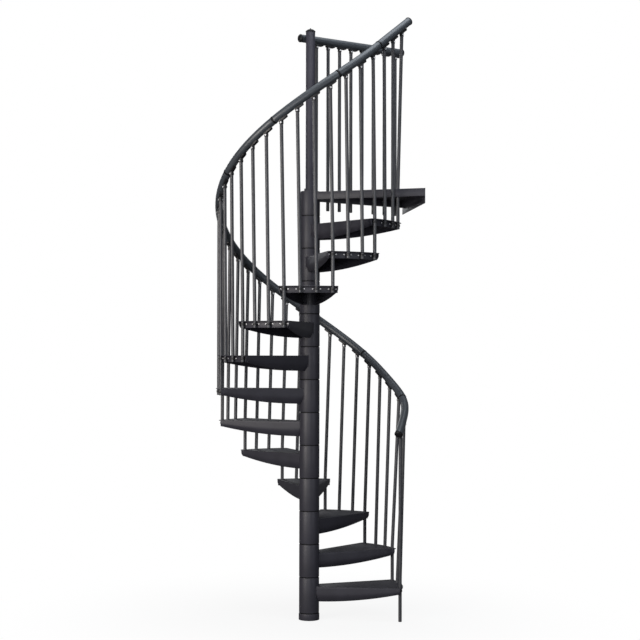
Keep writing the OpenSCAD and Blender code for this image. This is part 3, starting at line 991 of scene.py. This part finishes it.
def button_screw(radius, height):
    """Low round head with a hollow for the key, its axis along Z."""
    hollow = screw_socket_r * radius / screw_r
    return turned(
        [
            (radius, 0),
            (radius, 0.25 * height),
            (0.85 * radius, 0.75 * height),
            (1.2 * hollow, height),
            (hollow, height),
            (0.9 * hollow, 0.4 * height),
        ],
        sides=16,
    )


strap = bent_strap()
head = button_screw(screw_r, screw_head)
ear_face = -strap_back + strap_t
screws = joined(
    [copied(head, (ear_face, side * screw_out, 0), tilt=math.pi / 2) for side in (1, -1)]
)
bpy.data.objects.remove(head)
straps = []
strap_screws = []
for n in range(1, tread_count + 1):
    for k in (-1.5, -0.5, 0.5, 1.5):
        turn = tread_angle(n) + k * pitch_angle
        place = around(baluster_ring, turn, tread_top(n) - strap_depth)
        straps.append(copied(strap, place, turn))
        strap_screws.append(copied(screws, place, turn))
finished(joined(straps), "straps", clamp_coat, "clamp_steel", "baluster_clamps")
finished(joined(strap_screws), "strap_screws", zinc, "clamp_steel")

# ---------------------------------------------------------------- handrail
# A helical rail of blue-grey plastic over steel, in ten lengths that are plugged together,
# with a narrow black collar over each joint and a black cap on each end.
collar_len = 0.012
collar_lip = 0.0015
collar_room = 0.09 * rail_r
collar_bite = 0.003
collar_edge = 0.001
rail_collar_r = rail_r + collar_lip
end_lip_h = 0.004
end_edge = 0.0015
end_dome = ((0.95, 0.0035), (0.84, 0.0065), (0.62, 0.0090), (0.3, 0.0099))
cap_gap = 0.0003
point_step = math.radians(1.5)
rail_joints = [2.5, 6.5, 10.5, 14.5, 18.5, 22.5, 26.5, 30.5, 33.5]
rail_colour = (0.044, 0.051, 0.060)

# The handrail's light bluish colour on its upward faces is partly dust and partly a painted highlight
# along the top of the rail.
rail_plastic = coated(
    "rail_plastic",
    rail_colour,
    0.34,
    dust_and_sheen=0.25,
    peel_scale=160,
    peel=0.0005,
    specular=0.55,
    dust_and_sheen_colour=(0.16, 0.17, 0.18),
    peel_strength=0.2,
)
rail_shader = rail_plastic.node_tree.nodes["Principled BSDF"]
rail_shader.inputs["Coat Weight"].default_value = 0.2
rail_shader.inputs["Coat Roughness"].default_value = 0.4


def joint_angle(i):
    return baluster_top_angle(rail_joints[i])


def half_collar(i):
    return collar_len / 2 * math.cos(rail_slope(joint_angle(i))[0]) / baluster_ring


def rail_length(start, end):
    """A round bar drawn along the handrail's centre line."""
    points = math.ceil((end - start) / point_step) + 1
    bpy.ops.object.select_all(action="DESELECT")
    bpy.ops.curve.primitive_nurbs_path_add()
    bar = bpy.context.object
    bar.data.splines.clear()
    line = bar.data.splines.new("POLY")
    line.points.add(points - 1)
    for i, point in enumerate(line.points):
        point.co = (*rail_at(start + (end - start) * i / (points - 1)), 1)
    bar.data.bevel_depth = rail_r
    bar.data.bevel_resolution = 8
    bar.data.use_fill_caps = True
    bpy.ops.object.convert(target="MESH")
    bar = bpy.context.object
    bpy.ops.object.mode_set(mode="EDIT")
    return softened(close_up(), fine_edge, 2, 60)


def end_cap():
    """Turned cap with a lip and a shallow dome, its axis along Z."""
    steps = [
        (rail_collar_r, 0),
        (rail_collar_r, end_lip_h),
        (0.97 * rail_collar_r, end_lip_h + end_edge),
    ]
    steps += [(share * rail_r, end_lip_h + height) for share, height in end_dome]
    return turned(steps, sides=40)


def on_rail(piece, angle, along=0.0, backward=False):
    """Turns a part from Z to the handrail's own direction and sets it on its centre line."""
    slope, heading = rail_slope(angle)
    ahead = around(math.cos(slope), heading, math.sin(slope))
    tilt = math.pi / 2 - slope + (math.pi if backward else 0)
    place = rail_at(angle) + ahead * along
    return moved(piece, place, heading, tilt)


for i in range(len(rail_joints) + 1):
    start = rail_start if i == 0 else joint_angle(i - 1) + half_collar(i - 1)
    end = rail_end if i == len(rail_joints) else joint_angle(i) - half_collar(i)
    piece = rail_length(start, end)
    number = f"{i + 1:02d}"
    finished(piece, "rail_" + number, rail_plastic, "handrail_plastic", "handrail_" + number)

collar_half = (collar_len - collar_room) / 2
collar = turned(
    [
        (rail_r - collar_bite, -collar_half),
        (rail_collar_r - collar_edge, -collar_half),
        (rail_collar_r, -collar_half + collar_edge),
        (rail_collar_r, collar_half - collar_edge),
        (rail_collar_r - collar_edge, collar_half),
        (rail_r - collar_bite, collar_half),
    ],
    sides=40,
    bored=True,
)
collars = [on_rail(copied(collar), joint_angle(i)) for i in range(len(rail_joints))]
bpy.data.objects.remove(collar)
finished(joined(collars), "rail_rings", black_plastic, "black_plastic", "rail_collars")

rail_caps = [on_rail(end_cap(), rail_start, -cap_gap, True), on_rail(end_cap(), rail_end, cap_gap)]
finished(joined(rail_caps), "rail_caps", black_plastic, "black_plastic", "rail_end_caps")

# ---------------------------------------------------------------- rail brackets
# Under the rail a black saddle is screwed on at each baluster, with a socket pointing
# straight down that takes the tube's end and is pinned to it by a bright screw.
saddle_len = 0.064
saddle_w = 0.024
saddle_gap = 0.0008
saddle_high = -0.6 * rail_r
saddle_round = 0.8 * saddle_t
socket_wall = 0.002
socket_edge = 0.001
pin_sunk = 0.0006
pin_r = 0.0062
pin_head = 0.0034


def saddle(slope, drop):
    """A bar along the rail, rounded at both ends and hollowed to sit round the rail."""
    low_end = (drop - socket_len) * math.sin(slope) + baluster_r + 2 * socket_wall
    bar = block(
        (-low_end, -saddle_w / 2, -rail_r - saddle_t),
        (saddle_len - low_end, saddle_w / 2, saddle_high),
    )
    bpy.ops.object.mode_set(mode="EDIT")
    pick(
        "EDGE",
        lambda edge: all(point.co.z < -rail_r for point in edge.verts)
        and abs(edge.verts[0].co.x - edge.verts[1].co.x) < 0.0001,
    )
    bpy.ops.mesh.bevel(offset=saddle_round, segments=4, affect="EDGES")
    close_up()
    hollow_r = rail_r + saddle_gap
    bit = turned([(hollow_r, -2 * saddle_len), (hollow_r, 2 * saddle_len)], sides=40)
    return softened(bored_by(bar, [moved(bit, tilt=math.pi / 2)]), fine_edge)


def rail_bracket(drop, slope, heading):
    """Saddle and socket, with the socket's lower end at the origin."""
    bar = moved(saddle(slope, drop), (0, 0, drop), heading, -slope)
    socket_r = baluster_r + socket_wall
    socket = turned(
        [
            (socket_r - socket_edge, 0),
            (socket_r, socket_edge),
            (socket_r, socket_len - 2 * socket_edge),
            (socket_r - socket_edge, drop - rail_r - saddle_t / 2),
        ],
        sides=28,
    )
    return joined([bar, socket])


def bracket_pin(heading):
    """Bright screw heads on both sides of a socket."""
    pins = []
    for side in (1, -1):
        pin = button_screw(pin_r, pin_head)
        out = heading - side * math.pi / 2
        away = baluster_r + socket_wall - pin_sunk
        pins.append(moved(pin, around(away, out, 0.5 * socket_len), out, math.pi / 2))
    return joined(pins)


brackets = []
bracket_pins = []
for k in range(step_balusters + 1):
    angle = baluster_top_angle(k)
    slope, heading = rail_slope(angle)
    drop = bracket_drop(angle)
    place = rail_at(angle) - Vector((0, 0, drop))
    brackets.append(moved(rail_bracket(drop, slope, heading), place))
    bracket_pins.append(moved(bracket_pin(heading), place))
finished(joined(brackets), "saddles", clamp_coat, "black_plastic", "rail_brackets")
finished(joined(bracket_pins), "saddle_screws", zinc, "clamp_steel")

# ---------------------------------------------------------------- landing guard
# A straight rail along the landing's open side, with eight tubes clamped to the side flange
# and brackets, caps and screws of the same kinds as on the handrail.
guard_h = 1.007
guard_pitch = 0.090
guard_first = 0.082
guard_stub = 0.105
guard_count = 8
guard_before = 0.122
guard_past = 0.052
guard_from = guard_first - guard_before
guard_to = guard_first + (guard_count - 1) * guard_pitch + guard_past
guard_drop = rail_r + saddle_t + socket_len
guard_turn = landing_angle + landing_half_angle
guard_out = landing_offset + baluster_r + band_gap


def on_guard(x, height):
    """A place along the guard, at a height above the landing."""
    across = around(guard_out, guard_turn + math.pi / 2)
    return around(x, guard_turn) + across + Vector((0, 0, landing_top + height))


bar_edge = 0.001
bar = turned(
    [
        (rail_r - bar_edge, guard_from),
        (rail_r, guard_from + bar_edge),
        (rail_r, guard_to - bar_edge),
        (rail_r - bar_edge, guard_to),
    ],
    sides=40,
)
moved(bar, on_guard(0, guard_h), guard_turn, math.pi / 2)
finished(bar, "guard_bar", rail_plastic, "handrail_plastic", "guard_rail")

guard_caps = [
    moved(end_cap(), on_guard(guard_from, guard_h), guard_turn, -math.pi / 2),
    moved(end_cap(), on_guard(guard_to, guard_h), guard_turn, math.pi / 2),
]
finished(joined(guard_caps), "guard_caps", black_plastic, "black_plastic", "guard_end_caps")

guard_tube = turned(
    [
        (baluster_r - foot_taper, -guard_stub),
        (baluster_r, -guard_stub + foot_taper),
        (baluster_r, guard_h - guard_drop),
    ],
    sides=20,
)
guard_bracket = rail_bracket(guard_drop, 0, 0)
guard_pins = bracket_pin(0)
guard_parts = {"tubes": [], "brackets": [], "straps": [], "screws": []}
for i in range(guard_count):
    x = guard_first + i * guard_pitch
    socket_foot = on_guard(x, guard_h - guard_drop)
    strap_place = on_guard(x, -landing_flange / 2)
    guard_parts["tubes"].append(copied(guard_tube, on_guard(x, 0), guard_turn))
    guard_parts["brackets"].append(copied(guard_bracket, socket_foot, guard_turn))
    guard_parts["straps"].append(copied(strap, strap_place, guard_turn + math.pi / 2))
    guard_parts["screws"].append(copied(guard_pins, socket_foot, guard_turn))
    guard_parts["screws"].append(copied(screws, strap_place, guard_turn + math.pi / 2))
for spare in (guard_tube, guard_bracket, guard_pins, strap, screws):
    bpy.data.objects.remove(spare)
finished(joined(guard_parts["tubes"]), "guard_tubes", baluster_coat, "baluster_steel", "guard_balusters")
finished(joined(guard_parts["brackets"]), "guard_saddles", clamp_coat, "black_plastic", "guard_brackets")
finished(joined(guard_parts["straps"]), "guard_straps", clamp_coat, "clamp_steel", "guard_clamps")
finished(joined(guard_parts["screws"]), "guard_screws", zinc, "clamp_steel")
